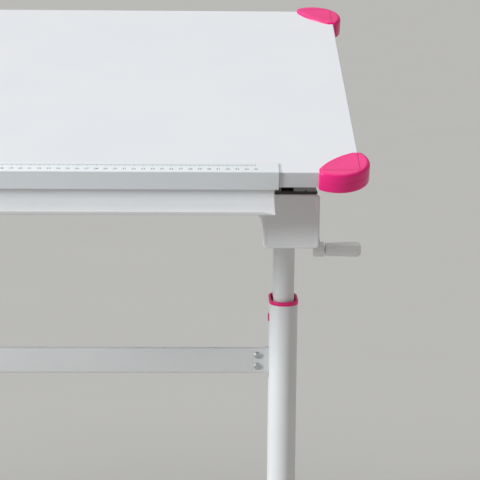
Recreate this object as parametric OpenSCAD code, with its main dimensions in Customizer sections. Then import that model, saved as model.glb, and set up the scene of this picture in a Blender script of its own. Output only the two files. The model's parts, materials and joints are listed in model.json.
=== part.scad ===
// Height-adjustable drawing desk with a tilting top.
// +X is the user's right, +Y points away from the user, +Z is up. The origin is on the
// floor, under the middle of the desk and in line with the two legs.
// Everything is drawn at the stored pose: legs raised a little, top tilted.

/* [Desk top] */
// Width of the board
board_w = 670; // [640:1:700]
// Depth of the board, along its slope
board_d = 465; // [440:1:480]
// Thickness of the board
board_t = 18; // [16:0.5:19]
// Slope of the top at the stored pose, in degrees
rest_tilt = 19; // [10:1:22]
// Height of the hinge line above the floor
hinge_z = 586; // [580:1:600]
// Distance of the hinge line in front of the legs
hinge_front = 158; // [150:1:165]
// Distance from the hinge line to the board's front edge, along the slope
hinge_to_front = 54; // [50:1:60]
// Distance from the hinge line up to the board's underside
hinge_to_board = 15.5; // [15:0.5:17]

/* [Corner pads] */
// Radius of the pad's outer curve
pad_r = 35; // [34:0.5:36]
// Distance of that curve's centre from each board edge
pad_inset = 24; // [23.5:0.5:26]
// Radius of the flatter curve across the board's top
pad_inner_r = 86; // [80:1:95]
// How far that curve lies from the corner, along the diagonal
pad_reach = 41.5; // [40:0.5:44]
// Distance of the pad's blunt tips from the board's corner, along each edge
pad_end = 45.4; // [43:0.1:47]
// How far the pad stands above the board's top
pad_over = 3; // [2:0.1:3.5]
// How far the pad reaches below the board's underside
pad_under = 1; // [0.8:0.1:1.5]

/* [Ruler and tray] */
// Length of the centimetre scale
scale_len = 450; // [400:10:500]
// Blank length of ruler past each end of the scale
ruler_end = 22; // [18:1:30]
// Depth of the ruler's ledge on the board
ruler_ledge = 20; // [16:0.5:24]
// Thickness of the ruler's ledge
ruler_t = 1.5; // [1:0.1:2]
// How much shorter the tray is than the ruler, at each end
tray_short = 4; // [2:1:10]
// Radius of the tray's trough
tray_r = 16; // [14:0.5:18]
// How far the tray's rear wall lies behind the board's front edge
tray_back = 5; // [2:0.5:8]
// Width of the tray's flat floor in front of the trough
tray_floor = 15.5; // [12:0.5:19]
// Height of the tray's front lip
tray_lip = 3.2; // [2.5:0.1:4]

/* [Legs] */
// Distance of a leg's centre inside the board's side edge
leg_inset = 70; // [68:0.5:75]
// Width of the outer tube
outer_w = 34; // [33:0.5:36]
// Depth of the outer tube
outer_d = 60; // [58:0.5:64]
// Width of the inner tube
inner_w = 25; // [24:0.5:26]
// Depth of the inner tube
inner_d = 50; // [48:0.5:52]
// Wall of both tubes
tube_wall = 1.5; // [1.2:0.1:2]
// Height of the outer tube's top end
outer_top = 408; // [400:1:412]
// Height of the inner tube's bottom end
inner_bottom = 118; // [115:1:125]

/* [Leg heads] */
// Width of the sheet-steel box on each leg
head_w = 55; // [54:0.5:56]
// How far the box's middle lies inside the leg's
head_shift = 2; // [1:0.5:3]
// Height of the box's underside
head_z = 512; // [508:1:514]
// Height of the box
head_h = 58.5; // [54:0.5:58.5]
// Reach of the box in front of the leg
head_front = 180; // [175:1:185]
// Reach of the box behind the leg
head_back = 130; // [120:1:140]
// Sheet thickness
sheet = 2; // [1.5:0.1:2.2]
// Width of the cover on the front of the box
cover_w = 62; // [60:0.5:63]
// Thickness of the cover
cover_t = 3; // [2:0.5:4]
// How far the cover reaches below the box
cover_drop = 1.6; // [1:0.1:2]
// Width of the plate on the box
plate_w = 57; // [56:0.5:58]
// Thickness of the plate on the box
plate_t = 3; // [2.5:0.5:3.5]

/* [Feet and stretcher] */
// Length of a foot over its end caps
foot_len = 530; // [510:1:560]
// Width of a foot
foot_w = 44; // [40:1:50]
// Height of the foot's steel tube
foot_h = 30; // [28:1:34]
// Height of the rubber glides
glide_h = 8; // [6:0.5:10]
// Height of the stretcher's lower edge above the floor
stretcher_z = 319; // [310:1:325]
// Height of the stretcher
stretcher_h = 31; // [30:1:36]
// Depth of the stretcher's folded flanges
stretcher_d = 10; // [9:1:14]

/* [Height drive] */
// Height of the cross shaft
shaft_z = 521; // [521:0.5:523]
// Radius of the cross shaft
shaft_r = 4; // [3.5:0.1:4]
// Radius of the lead screws
screw_r = 5; // [4.5:0.1:5.2]
// Crank radius, shaft to grip
crank_r = 66.3; // [60:0.1:67]
// Slope of the crank arm below the level at the stored pose, in degrees
crank_drop = 34; // [30:1:38]
// Length of the crank's grip
grip_len = 42.4; // [40:0.1:43]
// Radius of the grip's fat end
grip_r = 8.6; // [8:0.1:8.8]

/* [Tilt stays] */
// Length of a stay, also its distance behind the hinge line
stay_len = 150; // [140:1:160]
// Radius of the stay's and the hinge's pins
pin_r = 4; // [3.5:0.1:4]

/* [Hidden] */
$fn = 64;
// Radial clearance of a part that turns on a pin or in a bush
run = 0.06;
// Small clearance between neighbouring parts
gap = 0.3;
white = [0.93, 0.93, 0.94];
pink = [0.93, 0.13, 0.50];
steel = [0.72, 0.73, 0.75];
black = [0.08, 0.08, 0.09];
leg_x = board_w / 2 - leg_inset;
ruler_half = scale_len / 2 + ruler_end;
tray_half = ruler_half - tray_short;
board_front = -hinge_to_front;
board_back = board_front + board_d;
board_under = hinge_to_board;
board_top = hinge_to_board + board_t;
// The stays turn twice as fast as the top, so their tips follow a straight slot.
stay_angle = 2 * rest_tilt;
stay_y = stay_len - hinge_front;
slot_near = 218;
slot_far = 2 * stay_len + 6;
rail_half = 16;
rail_low = -9;
rail_start = -7;
rail_end = 372;
head_out = leg_x - head_shift + head_w / 2;
head_in = leg_x - head_shift - head_w / 2;
plate_z = head_z + head_h;
plate_top = plate_z + plate_t;
// The rails come down to just above the buffers when the top is flat.
buffer_h = hinge_z + rail_low - plate_top - 0.5;
foot_top = glide_h + foot_h;
stretcher_y = -12;
foot_plate_h = 4;
tube_foot = foot_top + foot_plate_h;
bolt_r = 2.9;
bolt_ys = [-39, 39];
grip_y = -crank_r * cos(crank_drop);
grip_z = shaft_z - crank_r * sin(crank_drop);
arm_in = head_out + 6.5;
arm_out = arm_in + 9.4;
boss_out = arm_in + 12.6;
grip_in = boss_out + 1.4;
grip_out = grip_in + grip_len;
nut_z = 330;
screw_end = 122;
bearing_z = 497;
gear_far = 9;
gear_near = 5.5;

// ---- shapes that repeat ----

// A flat oval: two half circles joined by straight sides, long in Y.
module oval(w, d) {
    square([w, d - w], center = true);
    for (s = [-1, 1]) translate([0, s * (d - w) / 2]) circle(d = w);
}

// An upright oval tube.
module oval_tube(w, d, wall, low, high) {
    translate([0, 0, low]) linear_extrude(high - low) difference() {
        oval(w, d);
        oval(w - 2 * wall, d - 2 * wall);
    }
}

// A rectangle with rounded corners.
module round_rect(w, d, r) {
    square([w - 2 * r, d], center = true);
    square([w, d - 2 * r], center = true);
    for (i = [-1, 1], j = [-1, 1]) translate([i * (w / 2 - r), j * (d / 2 - r)]) circle(r);
}

// A cylinder along X from x0 to x1.
module rod_x(r, x0, x1) {
    translate([x0, 0, 0]) rotate([0, 90, 0]) cylinder(r = r, h = x1 - x0);
}

// Puts its children at the right leg, or mirrored at the left one.
module at_leg(side) {
    mirror([side < 0 ? 1 : 0, 0, 0]) translate([leg_x, 0, 0]) children();
}

// Puts its children in the top's own frame: Y up the slope, Z square to the board.
module on_top() {
    translate([0, -hinge_front, hinge_z]) rotate([rest_tilt, 0, 0]) children();
}

// A hex bolt head with its washer, along +Z, and a short shank below.
module bolt(head_r, head_h, shank_r, shank) {
    cylinder(r = head_r * 1.25, h = 0.8);
    translate([0, 0, 0.8]) cylinder(r = head_r, h = head_h, $fn = 6);
    translate([0, 0, -shank]) cylinder(r = shank_r, h = shank);
}

// ---- base ----

module foot(side) color(white) at_leg(side) {
    half = foot_len / 2 - 18;
    difference() {
        translate([-foot_w / 2, -half, glide_h]) cube([foot_w, 2 * half, foot_h]);
        translate([sheet - foot_w / 2, -half - 1, glide_h + sheet])
            cube([foot_w - 2 * sheet, 2 * half + 2, foot_h - 2 * sheet]);
        for (y = bolt_ys) translate([0, y, foot_top - 3]) cylinder(r = bolt_r + 0.2, h = 4);
    }
}
module foot_left() foot(-1);
module foot_right() foot(1);

module foot_end_caps() color(pink) for (side = [-1, 1], e = [-1, 1]) at_leg(side)
    scale([1, e, 1]) foot_cap();

// One cap: a plug inside the tube and a half-round nose outside it.
module foot_cap() {
    start = foot_len / 2 - 18;
    translate([0, start, glide_h]) linear_extrude(foot_h) intersection() {
        scale([1, 18 / (foot_w / 2), 1]) circle(foot_w / 2);
        translate([-foot_w, 0]) square([2 * foot_w, foot_w]);
    }
    translate([gap + sheet - foot_w / 2, start - 20, glide_h + sheet + gap])
        cube([foot_w - 2 * (sheet + gap), 20, foot_h - 2 * (sheet + gap)]);
}

module floor_glides() color(black) for (side = [-1, 1], e = [-1, 1]) at_leg(side)
    translate([0, e * 222, 0]) {
        cylinder(r1 = 13, r2 = 15, h = 2);
        translate([0, 0, 2]) cylinder(r = 15, h = glide_h - 2);
    }

module foot_plates() color(white) for (side = [-1, 1]) at_leg(side)
    translate([0, 0, foot_top]) linear_extrude(foot_plate_h) difference() {
        round_rect(foot_w - 2, 92, 6);
        for (y = bolt_ys) translate([0, y]) circle(bolt_r + 0.2);
    }

module foot_bolts() color(steel) for (side = [-1, 1], y = bolt_ys) at_leg(side)
    translate([0, y, foot_top + foot_plate_h]) bolt(4.6, 3.4, bolt_r, foot_plate_h + 4);

module leg_tube(side) color(white) at_leg(side) difference() {
    oval_tube(outer_w, outer_d, tube_wall, tube_foot, outer_top);
    // window for the collar's snap tab, on the side that faces the other leg
    translate([-outer_w / 2 - 1, -5, outer_top - 25.4]) cube([4, 10, 10]);
}
module leg_tube_left() leg_tube(-1);
module leg_tube_right() leg_tube(1);

// Plastic collar: a rim on the tube, a sleeve inside it and a guide lip at the bottom.
module leg_collar(side) color(pink) at_leg(side) {
    bore_w = outer_w - 2 * tube_wall - 0.1;
    bore_d = outer_d - 2 * tube_wall - 0.1;
    translate([0, 0, outer_top]) linear_extrude(5) difference() {
        oval(outer_w + 1.4, outer_d + 1.4);
        oval(29.6, 55.6);
    }
    translate([0, 0, outer_top - 30]) linear_extrude(30) difference() {
        oval(bore_w, bore_d);
        oval(29.2, 55.2);
    }
    translate([0, 0, outer_top - 36]) linear_extrude(6) difference() {
        oval(bore_w, bore_d);
        oval(inner_w + 2 * gap, inner_d + 2 * gap);
    }
    translate([-outer_w / 2 - 1.6, -4.6, outer_top - 25]) cube([4.2, 9.2, 9.2]);
}
module leg_collar_left() leg_collar(-1);
module leg_collar_right() leg_collar(1);

// Folded channel between the outer tubes, open towards the back.
module stretcher_beam() color(white) {
    half = leg_x - outer_w / 2;
    difference() {
        translate([-half, stretcher_y, stretcher_z]) cube([2 * half, stretcher_d, stretcher_h]);
        translate([-half - 1, stretcher_y + sheet, stretcher_z + sheet])
            cube([2 * half + 2, stretcher_d, stretcher_h - 2 * sheet]);
        for (side = [-1, 1], z = [9, 23]) at_leg(side)
            translate([-outer_w / 2 - 14, 0, stretcher_z + z])
                rotate([90, 0, 0]) cylinder(r = 2.6, h = 20);
    }
}

module stretcher_brackets() color(steel) for (side = [-1, 1]) at_leg(side)
    translate([-outer_w / 2, 0, stretcher_z + sheet + gap]) difference() {
        h = stretcher_h - 2 * (sheet + gap);
        union() {
            translate([-2.5, stretcher_y + sheet, 0]) cube([2.5, 20, h]);
            translate([-24, stretcher_y + sheet, 0]) cube([22, 3, h]);
        }
        for (z = [9, 23]) translate([-14, 0, z - sheet - gap])
            rotate([90, 0, 0]) cylinder(r = 2.6, h = 20);
    }

module stretcher_bolts() color(steel) for (side = [-1, 1], z = [9, 23]) at_leg(side)
    translate([-outer_w / 2 - 14, stretcher_y, stretcher_z + z]) rotate([90, 0, 0]) {
        cylinder(r1 = 4.6, r2 = 3.2, h = 2);
        translate([0, 0, -9]) cylinder(r = 2.5, h = 9);
    }

module nut_tubes() color(steel) for (side = [-1, 1]) at_leg(side)
    translate([0, 0, tube_foot]) difference() {
        cylinder(r = 9, h = nut_z - tube_foot);
        translate([0, 0, -1]) cylinder(r = 7, h = nut_z - tube_foot + 2);
    }

module screw_nuts() color(black) for (side = [-1, 1]) at_leg(side)
    translate([0, 0, nut_z]) difference() {
        cylinder(r = 9.6, h = 16);
        translate([0, 0, -1]) cylinder(r = screw_r + run, h = 18);
    }

// ---- part that rises ----

module inner_tube(side) color(white) at_leg(side)
    oval_tube(inner_w, inner_d, tube_wall, inner_bottom, head_z);
module inner_tube_left() inner_tube(-1);
module inner_tube_right() inner_tube(1);

// Plastic shoes round the inner tubes' lower ends, which slide inside the outer tubes.
module inner_tube_glides() color(black) for (side = [-1, 1]) at_leg(side)
    translate([0, 0, inner_bottom]) linear_extrude(28) difference() {
        oval(outer_w - 2 * tube_wall - 2 * gap, outer_d - 2 * tube_wall - 2 * gap);
        oval(inner_w, inner_d);
    }

// Folded steel box on top of the leg, open above, with rounded lower edges and a cover
// on its front that is wider than the box.
module leg_head(side) color(white) at_leg(side) {
    len = head_front + head_back;
    difference() {
        translate([-head_shift, head_back, head_z]) rotate([90, 0, 0]) linear_extrude(len)
            head_outline(head_w, head_h, 4);
        translate([-head_shift, head_back - sheet, head_z + sheet]) rotate([90, 0, 0])
            linear_extrude(len - 2 * sheet) head_outline(head_w - 2 * sheet, head_h, 2);
        // opening over the inner tube, where the screw's gear comes up
        translate([0, 0, head_z - 1]) linear_extrude(sheet + 2)
            oval(inner_w - 2 * tube_wall, inner_d - 2 * tube_wall);
        translate([0, 0, shaft_z]) rod_x(7, -head_w, head_w);
        for (y = [24, 46]) translate([0, y, shaft_z + 18]) rod_x(3.2, -head_w, 0);
    }
    translate([-head_shift, -head_front, head_z - cover_drop]) rotate([90, 0, 0])
        linear_extrude(cover_t) head_outline(cover_w, head_h + cover_drop, 5);
}
module leg_head_left() leg_head(-1);
module leg_head_right() leg_head(1);

// Front view of the box, standing on Y = 0, with its lower corners rounded.
module head_outline(w, h, r) {
    translate([-w / 2, r]) square([w, h - r]);
    translate([r - w / 2, 0]) square([w - 2 * r, r]);
    for (s = [-1, 1]) translate([s * (w / 2 - r), r]) circle(r);
}

module head_plate(side) color(black) at_leg(side)
    translate([-head_shift, (head_back - head_front) / 2, plate_z]) linear_extrude(plate_t)
        round_rect(plate_w, head_front + head_back, 2);
module head_plate_left() head_plate(-1);
module head_plate_right() head_plate(1);

// Welded socket under each box, round the inner tube's top end.
module head_sockets() color(white) for (side = [-1, 1]) at_leg(side)
    oval_tube(inner_w + 8, inner_d + 8, 4, head_z - 12, head_z);

module cross_beam() color(white) {
    difference() {
        translate([-head_in, 18, shaft_z + 3]) cube([2 * head_in, 34, 34]);
        translate([3 - head_in, 18 + sheet, shaft_z + 3 + sheet])
            cube([2 * head_in - 6, 34 - 2 * sheet, 34 - 2 * sheet]);
        for (side = [-1, 1], y = [24, 46]) at_leg(side)
            translate([0, y, shaft_z + 18]) rod_x(2.6, head_in - leg_x - 4, 0);
    }
}

module cross_beam_bolts() color(steel) for (side = [-1, 1], y = [24, 46]) at_leg(side)
    translate([sheet + head_in - leg_x, y, shaft_z + 18]) rotate([0, 90, 0])
        bolt(4.6, 3.4, 2.6, 6);

// Blocks that carry the hinge pins, standing on the plates.
module hinge_blocks() color(black) for (side = [-1, 1]) at_leg(side)
    translate([0, -hinge_front, 0]) difference() {
        union() {
            translate([-12.5, -8, plate_top]) cube([13.5, 16, hinge_z - plate_top]);
            translate([0, 0, hinge_z]) rod_x(8, -12.5, 1);
        }
        translate([0, 0, hinge_z]) rod_x(pin_r, -20, 20);
    }

module hinge_pins() color(steel) for (side = [-1, 1]) at_leg(side)
    translate([0, -hinge_front, hinge_z]) {
        rod_x(pin_r, -rail_half - 1, rail_half + 1);
        for (s = [-1, 1]) translate([s * (rail_half + 1.8), 0, 0]) rod_x(5.6, -0.8, 0.8);
    }

module stay_brackets() color(steel) for (side = [-1, 1]) at_leg(side)
    translate([0, stay_y, 0]) difference() {
        union() {
            for (x = [-7.5, 4.5]) translate([x, 0, 0]) {
                translate([0, -8, plate_top]) cube([3, 16, hinge_z - plate_top]);
                translate([0, 0, hinge_z]) rod_x(8, 0, 3);
            }
            translate([-7.5, -8, plate_top]) cube([15, 16, 2.5]);
        }
        translate([0, 0, hinge_z]) rod_x(pin_r, -20, 20);
    }

module stay_pins() color(steel) for (side = [-1, 1]) at_leg(side)
    translate([0, stay_y, hinge_z]) {
        rod_x(pin_r, -8.5, 8.5);
        for (s = [-1, 1]) translate([s * 9.2, 0, 0]) rod_x(5.4, -0.7, 0.7);
    }

// Rubber buffers that the rails come down on when the top is flat.
module tilt_buffers() color(black) for (side = [-1, 1], y = [-110, 104]) at_leg(side)
    translate([0, y, plate_top]) linear_extrude(buffer_h) round_rect(38, 14, 3);

module shaft_bushes() color(white) for (side = [-1, 1], s = [-1, 1]) at_leg(side)
    translate([s * head_w / 2 - head_shift, 0, shaft_z]) difference() {
        scale([s, 1, 1]) {
            rod_x(7, -sheet - 0.5, 0);
            rod_x(9, 0, 1.5);
        }
        rod_x(shaft_r + run, -9, 9);
    }

module screw_bearings() color(black) for (side = [-1, 1]) at_leg(side)
    translate([0, 0, bearing_z]) difference() {
        linear_extrude(7.5) oval(inner_w - 2 * tube_wall, inner_d - 2 * tube_wall);
        translate([0, 0, -1]) cylinder(r = screw_r + run, h = 10);
    }

// ---- height drive ----

module cross_shaft() color(steel)
    translate([0, 0, shaft_z]) rod_x(shaft_r, -head_out - 5, arm_out - 1);

// A cone gear on +Z with its cone's tip at the origin and shallow teeth.
module cone_gear(bore) difference() {
    union() {
        translate([0, 0, -gear_far]) cylinder(r1 = gear_far - gap, r2 = gear_near - gap,
            h = gear_far - gear_near);
        translate([0, 0, -gear_far - 6.5]) cylinder(r = 6, h = 6.5);
    }
    for (a = [0:24:359]) rotate([0, 0, a]) translate([gear_far - 1.1, 0, -gear_far])
        rotate([0, -45, 0]) translate([0, -0.5, -2]) cube([2, 1, 12]);
    if (bore > 0) translate([0, 0, -20]) cylinder(r = bore, h = 30);
}

module shaft_gears() color(steel) for (side = [-1, 1]) at_leg(side)
    translate([0, 0, shaft_z]) rotate([0, -90, 0]) rotate([0, 0, 12]) cone_gear(shaft_r);

module screw_gear(side) color(steel) at_leg(side)
    translate([0, 0, shaft_z]) cone_gear(0);
module screw_gear_left() screw_gear(-1);
module screw_gear_right() screw_gear(1);

module lead_screw(side) color(steel) at_leg(side) {
    translate([0, 0, screw_end]) cylinder(r = screw_r, h = shaft_z - 15.5 - screw_end);
    translate([0, 0, bearing_z - 2.5]) cylinder(r = 7, h = 2);
}
module lead_screw_left() lead_screw(-1);
module lead_screw_right() lead_screw(1);

// Arm of the crank: a hub on the shaft, a flat bar and a fat boss under the grip.
module crank_arm() color(white) translate([0, 0, shaft_z]) difference() {
    union() {
        rod_x(9, arm_in, arm_out);
        translate([0, grip_y, grip_z - shaft_z]) rod_x(8.8, arm_in, boss_out);
        rotate([180 + crank_drop, 0, 0]) translate([arm_in, 0, -5.5])
            cube([arm_out - arm_in - 1.6, crank_r, 11]);
    }
    rod_x(shaft_r, arm_in - 1, arm_out - 1);
    translate([0, grip_y, grip_z - shaft_z]) rod_x(3.5, arm_in + 3, boss_out + 1);
}

module crank_pin() color(steel) translate([0, grip_y, grip_z])
    rod_x(3.5, arm_in + 3, grip_out - 9);

// Grip: slightly fatter towards its rounded outer end.
module crank_grip() color(white) translate([grip_in, grip_y, grip_z]) rotate([0, 90, 0])
    difference() {
        rotate_extrude() union() {
            polygon([[0, 0], [grip_r - 1.3, 0], [grip_r - 0.8, 0.6],
                [grip_r, grip_len - 5], [0, grip_len - 5]]);
            intersection() {
                translate([grip_r - 5, grip_len - 5]) circle(5);
                translate([0, grip_len - 5]) square([grip_r, 5]);
            }
            translate([0, grip_len - 5]) square([grip_r - 5, 5]);
        }
        translate([0, 0, -1]) cylinder(r = 3.5 + run, h = grip_len - 7.5);
    }

// ---- tilt stays ----

module stay(side) color(steel) at_leg(side)
    translate([0, stay_y, hinge_z]) rotate([stay_angle, 0, 0]) difference() {
        union() {
            rod_x(7, -4, 4);
            translate([0, stay_len, 0]) rod_x(7, -4, 4);
            translate([-4, 0, -6]) cube([8, stay_len, 12]);
        }
        rod_x(pin_r + run, -9, 9);
        translate([0, stay_len, 0]) rod_x(pin_r, -9, 9);
    }
module stay_left() stay(-1);
module stay_right() stay(1);

module stay_roller(side) color(black) at_leg(side)
    translate([0, stay_y, hinge_z]) rotate([stay_angle, 0, 0]) translate([0, stay_len, 0]) {
        rod_x(pin_r, -rail_half - 1, rail_half + 1);
        for (s = [-1, 1]) translate([s * (rail_half + 1.8), 0, 0]) rod_x(6, -0.8, 0.8);
    }
module stay_roller_left() stay_roller(-1);
module stay_roller_right() stay_roller(1);

// ---- tilting top ----

module board() color(white) on_top()
    translate([0, (board_front + board_back) / 2, board_under])
        linear_extrude(board_t) round_rect(board_w, board_d, 14);

// A disc of radius r from z0 to z1 with its upper edge rounded to the radius e.
module soft_disc(r, z0, z1, e) rotate_extrude($fn = 96) {
    translate([0, z0]) square([r, z1 - z0 - e]);
    translate([0, z1 - e - 0.01]) square([r - e, e + 0.01]);
    intersection() {
        translate([r - e, z1 - e]) circle(e);
        translate([0, z1 - e]) square([r, e]);
    }
}

module corner_pad(i, j) color(pink) on_top()
    translate([0, (board_front + board_back) / 2, 0]) scale([i, j, 1])
        translate([board_w / 2, -board_d / 2, 0]) difference() {
            pad_shell();
            // the board's corner goes in here
            translate([-board_w / 2, board_d / 2, board_under]) linear_extrude(board_t)
                round_rect(board_w, board_d, 14);
        }

// The pad's outside: a round disc cut back to a leaf by a larger one. The board's corner
// is at the origin and the board lies towards -X and +Y.
module pad_shell() {
    low = board_under - pad_under;
    high = board_top + pad_over;
    along = (pad_reach - pad_inner_r) * sqrt(0.5);
    intersection() {
        translate([-pad_inset, pad_inset, 0]) soft_disc(pad_r, low, high, 4);
        translate([-along, along, 0]) soft_disc(pad_inner_r, low - 1, high, 1);
        translate([-pad_end, -pad_r, low - 1]) cube([pad_end + pad_r, pad_end + pad_r, 2 * pad_r]);
    }
}

module corner_pad_front_left() corner_pad(-1, 1);
module corner_pad_front_right() corner_pad(1, 1);
module corner_pad_back_left() corner_pad(-1, -1);
module corner_pad_back_right() corner_pad(1, -1);

// L-shaped ruler: a ledge on the board and a face over the board's front edge.
module ruler() color(steel) on_top()
    translate([ruler_half, board_front, 0]) rotate([90, 0, -90])
        linear_extrude(2 * ruler_half) {
            translate([-ruler_ledge, board_top]) square([ruler_ledge + 2, ruler_t]);
            translate([0, board_under - 1.6]) square([2, board_t + ruler_t + 1.6]);
        }

// Pen tray: a flange under the board, a quarter-round trough, a floor and a lip that
// slopes away at both ends.
module pen_tray() color(white) on_top() {
    wall = 1.5;
    translate([tray_half, board_front, board_under]) rotate([90, 0, -90])
        linear_extrude(2 * tray_half) {
            translate([-tray_back - 22, -wall]) square([22 + wall, wall]);
            difference() {
                translate([tray_r - tray_back, -wall]) intersection() {
                    circle(tray_r + wall);
                    translate([-40, -40]) square([40, 40]);
                }
                translate([tray_r - tray_back, -wall]) circle(tray_r);
            }
            translate([tray_r - tray_back, -wall - tray_r - wall]) square([tray_floor, wall]);
        }
    lip_y = board_front + tray_back - tray_r - tray_floor - wall;
    translate([0, lip_y + wall, board_under - tray_r - 2 * wall]) rotate([90, 0, 0])
        linear_extrude(wall) polygon([[-tray_half, 0], [tray_half, 0],
            [tray_half, wall], [tray_half - 16, wall + tray_lip],
            [16 - tray_half, wall + tray_lip], [-tray_half, wall]]);
}

// Inverted channel under the board, with a straight slot for the stay's tip.
module tilt_rail(side) color(white) on_top() at_leg(side) difference() {
    translate([-rail_half, rail_start, rail_low])
        cube([2 * rail_half, rail_end - rail_start, board_under - rail_low]);
    translate([sheet - rail_half, rail_start - 1, rail_low - 1])
        cube([2 * (rail_half - sheet), rail_end - rail_start + 2,
            board_under - rail_low + 1 - sheet]);
    rod_x(pin_r + run, -40, 40);
    translate([-40, slot_near, -pin_r - gap]) cube([80, slot_far - slot_near, 2 * (pin_r + gap)]);
    for (y = [30, 190, 350]) translate([0, y, 0]) cylinder(r = 2.3, h = 40);
}
module tilt_rail_left() tilt_rail(-1);
module tilt_rail_right() tilt_rail(1);

module rail_screws() color(steel) on_top() for (side = [-1, 1], y = [30, 190, 350])
    at_leg(side) translate([0, y, board_under - sheet - 2]) cylinder(r = 4.2, h = 2);

module tray_screws() color(steel) on_top() for (x = [-200, -70, 70, 200])
    translate([x, board_front + tray_back + 12, board_under - 1.5 - 1.8])
        cylinder(r = 3.6, h = 1.8);

foot_left();
foot_right();
foot_end_caps();
floor_glides();
foot_plates();
foot_bolts();
leg_tube_left();
leg_tube_right();
leg_collar_left();
leg_collar_right();
stretcher_beam();
stretcher_brackets();
stretcher_bolts();
nut_tubes();
screw_nuts();
inner_tube_left();
inner_tube_right();
inner_tube_glides();
leg_head_left();
leg_head_right();
head_plate_left();
head_plate_right();
head_sockets();
cross_beam();
cross_beam_bolts();
hinge_blocks();
hinge_pins();
stay_brackets();
stay_pins();
tilt_buffers();
shaft_bushes();
screw_bearings();
cross_shaft();
shaft_gears();
crank_arm();
crank_pin();
crank_grip();
lead_screw_left();
lead_screw_right();
screw_gear_left();
screw_gear_right();
stay_left();
stay_right();
stay_roller_left();
stay_roller_right();
board();
corner_pad_front_left();
corner_pad_front_right();
corner_pad_back_left();
corner_pad_back_right();
ruler();
pen_tray();
tilt_rail_left();
tilt_rail_right();
rail_screws();
tray_screws();
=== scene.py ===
# %% [markdown]
# # A drawing desk that rises and tilts
# The desk stands on two legs that telescope. A crank on the right raises them, and the top
# tilts about a hinge near its front edge. The mechanical model is already made, so this
# lesson gives it its finished surfaces: soft moulded edges, folded steel, printed ink.
#
# Every length is in metres, and every place is measured from the mechanical model, so a new
# piece always fits the part that it stands for.

# %% Load the mechanical model
import json
import math
import bpy
import numpy as np
from mathutils import Matrix


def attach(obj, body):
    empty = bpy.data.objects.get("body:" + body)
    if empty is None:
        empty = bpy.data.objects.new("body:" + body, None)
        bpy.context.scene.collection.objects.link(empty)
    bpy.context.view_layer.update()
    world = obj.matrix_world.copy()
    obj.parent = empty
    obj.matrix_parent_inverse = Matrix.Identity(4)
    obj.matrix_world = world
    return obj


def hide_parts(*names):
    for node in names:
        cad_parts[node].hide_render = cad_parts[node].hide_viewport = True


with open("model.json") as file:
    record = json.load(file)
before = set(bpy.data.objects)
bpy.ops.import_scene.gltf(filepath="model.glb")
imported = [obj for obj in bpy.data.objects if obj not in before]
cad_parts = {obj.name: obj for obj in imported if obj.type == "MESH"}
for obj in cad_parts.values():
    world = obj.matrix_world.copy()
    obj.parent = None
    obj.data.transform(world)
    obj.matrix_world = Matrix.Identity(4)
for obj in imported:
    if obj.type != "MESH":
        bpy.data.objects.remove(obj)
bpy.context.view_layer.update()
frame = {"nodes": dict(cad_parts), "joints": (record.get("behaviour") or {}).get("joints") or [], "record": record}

MM = 0.001

# %% [markdown]
# ## Places to build in
# The top leans, so its parts are easier to draw in axes that lean with it. A seat keeps an
# origin and three axes. It measures a part along those axes and carries drawn points out
# into the room. The lean is read from the board: its largest face is the drawing surface,
# and that face's normal gives the slope.


# %% Seats
def read(items, field, width=3):
    """One field of all of a mesh's vertices or faces, as rows of numbers."""
    values = np.zeros(width * len(items))
    items.foreach_get(field, values)
    return values.reshape(-1, width)


class Seat:
    """An origin and three axes. The axes are the rows of a 3 by 3 array."""

    def __init__(self, origin=(0, 0, 0), axes=((1, 0, 0), (0, 1, 0), (0, 0, 1))):
        self.origin = np.array(origin, float)
        self.axes = np.array(axes, float)

    def out(self, points):
        """Room points: local points times the axes, plus the origin."""
        return points @ self.axes + self.origin

    def extent(self, node):
        """Lowest and highest local corner: (vertices minus origin) times the turned axes."""
        corners = read(frame["nodes"][node].data.vertices, "co")
        local = (corners - self.origin) @ self.axes.T
        return local.min(0), local.max(0)


def slope_of(node):
    """Slope in radians of the widest face: the angle whose tangent is -normal y / normal z."""
    faces = frame["nodes"][node].data.polygons
    normal = read(faces, "normal")[read(faces, "area", 1).argmax()]
    return math.atan(-normal[1] / normal[2])


def joint_place(name):
    """Where a joint of the mechanical model turns, in metres."""
    return np.array(next(j["pos_m"] for j in frame["joints"] if j["name"] == name), float)


def leaning(angle, origin):
    """A seat whose y axis rises from the level by the angle."""
    return Seat(origin, ((1, 0, 0), (0, math.cos(angle), math.sin(angle)),
                         (0, -math.sin(angle), math.cos(angle))))


slope = slope_of("board")
ROOM = Seat()
TOP = leaning(slope, joint_place("tilt"))
leg_low, leg_high = ROOM.extent("leg_tube_right")
LEG_X = (leg_low[0] + leg_high[0]) / 2
SIDES = {"left": -1, "right": 1}
print(f"the top slopes {math.degrees(slope):.1f} degrees; the legs stand {LEG_X:.4f} m out")

# %% [markdown]
# ## Outlines
# Most parts of a desk are one outline with thickness: a board, a plate, a folded channel
# seen from its end. An outline here is a closed anticlockwise row of points, each with its
# outward normal. The normals let a later step draw the outline in or out by an even amount,
# which is what a rounded edge needs.


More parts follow.
